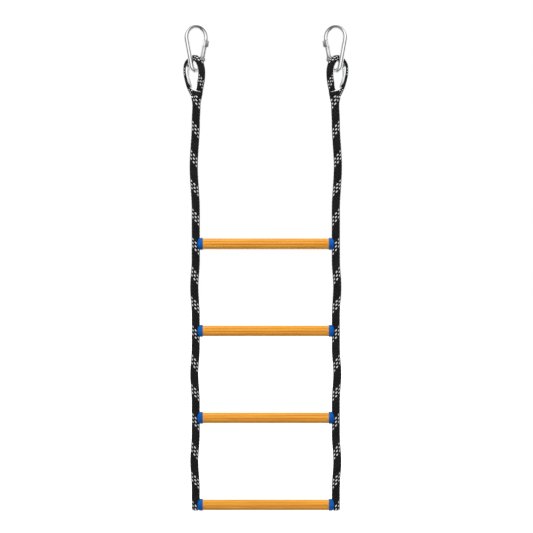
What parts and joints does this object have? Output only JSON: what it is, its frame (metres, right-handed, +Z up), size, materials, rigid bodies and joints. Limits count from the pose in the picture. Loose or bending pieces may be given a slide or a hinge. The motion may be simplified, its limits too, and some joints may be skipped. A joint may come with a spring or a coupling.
{
  "type": "escape rope ladder",
  "caption": "Rope escape ladder: braided side ropes with thimble eyes and snap hooks, ribbed resin rungs between moulded end caps.",
  "frame": {"origin": "on the line along X that both hooks hang on, halfway between the two hooks", "axes": "+Z up, +X along the rungs, -Y towards the climber"},
  "size_m": [0.5344, 0.0821, 1.5688],
  "materials": {
    "side_rope": "braided synthetic rope, matt, with light tracer yarns",
    "cross_rope": "braided synthetic rope inside the rung",
    "hook_zinc": "bright zinc-plated steel rod",
    "gate_zinc": "zinc-plated steel, slightly duller than the rod",
    "rivet_steel": "plain steel pin",
    "spring_steel": "spring wire",
    "thimble_zinc": "bright zinc-plated sheet",
    "tube_amber": "satin amber resin with lengthwise ribs",
    "cap_blue": "moulded blue plastic, soft gloss"
  },
  "bodies": {
    "hooks": {"left_hook_body": "hook_zinc", "right_hook_body": "hook_zinc", "left_gate_rivet": "rivet_steel", "right_gate_rivet": "rivet_steel"},
    "left_gate": {"left_gate": "gate_zinc", "left_gate_spring": "spring_steel", "left_gate_plunger": "rivet_steel"},
    "right_gate": {"right_gate": "gate_zinc", "right_gate_spring": "spring_steel", "right_gate_plunger": "rivet_steel"},
    "hanger": {"left_thimble": "thimble_zinc", "right_thimble": "thimble_zinc", "left_eye_splice": "side_rope", "right_eye_splice": "side_rope", "left_rope_top": "side_rope", "right_rope_top": "side_rope"},
    "rung_1": {"left_rope_1": "side_rope", "right_rope_1": "side_rope", "rung_1_tube": "tube_amber", "rung_1_left_cap": "cap_blue", "rung_1_right_cap": "cap_blue", "rung_1_cross_rope": "cross_rope"},
    "rung_2": {"left_rope_2": "side_rope", "right_rope_2": "side_rope", "rung_2_tube": "tube_amber", "rung_2_left_cap": "cap_blue", "rung_2_right_cap": "cap_blue", "rung_2_cross_rope": "cross_rope"},
    "rung_3": {"left_rope_3": "side_rope", "right_rope_3": "side_rope", "rung_3_tube": "tube_amber", "rung_3_left_cap": "cap_blue", "rung_3_right_cap": "cap_blue", "rung_3_cross_rope": "cross_rope"},
    "rung_4": {"left_rope_4": "side_rope", "right_rope_4": "side_rope", "rung_4_tube": "tube_amber", "rung_4_left_cap": "cap_blue", "rung_4_right_cap": "cap_blue", "rung_4_cross_rope": "cross_rope"}
  },
  "joints": [
    {"name": "ladder_swing", "type": "hinge", "parent": "hooks", "child": "hanger", "pos_m": [0, 0, -0.0946], "axis": [1, 0, 0], "range_deg": [-15, 8]},
    {"name": "left_gate_opening", "type": "hinge", "parent": "hooks", "child": "left_gate", "pos_m": [-0.20555, 0.01277, -0.0986], "axis": [0.5, -0.866, 0], "range_deg": [0, 25], "stiffness_Nm_per_rad": 0.7, "springref_deg": -34.38},
    {"name": "right_gate_opening", "type": "hinge", "parent": "hooks", "child": "right_gate", "pos_m": [0.20555, 0.01277, -0.0986], "axis": [0.5, 0.866, 0], "range_deg": [0, 25], "stiffness_Nm_per_rad": 0.7, "springref_deg": -34.38},
    {"name": "top_fold", "type": "hinge", "parent": "hanger", "child": "rung_1", "pos_m": [0, 0, -0.445], "axis": [1, 0, 0], "range_deg": [-160, 160], "deforming": ["left_rope_top", "right_rope_top", "left_rope_1", "right_rope_1"]},
    {"name": "bay_1_fold", "type": "hinge", "parent": "rung_1", "child": "rung_2", "pos_m": [0, 0, -0.8331], "axis": [-1, 0, 0], "range_deg": [-160, 160], "deforming": ["left_rope_2", "right_rope_2"]},
    {"name": "bay_2_fold", "type": "hinge", "parent": "rung_2", "child": "rung_3", "pos_m": [0, 0, -1.1131], "axis": [1, 0, 0], "range_deg": [-160, 160], "deforming": ["left_rope_3", "right_rope_3"]},
    {"name": "bay_3_fold", "type": "hinge", "parent": "rung_3", "child": "rung_4", "pos_m": [0, 0, -1.3931], "axis": [-1, 0, 0], "range_deg": [-160, 160], "deforming": ["left_rope_4", "right_rope_4"]}
  ]
}
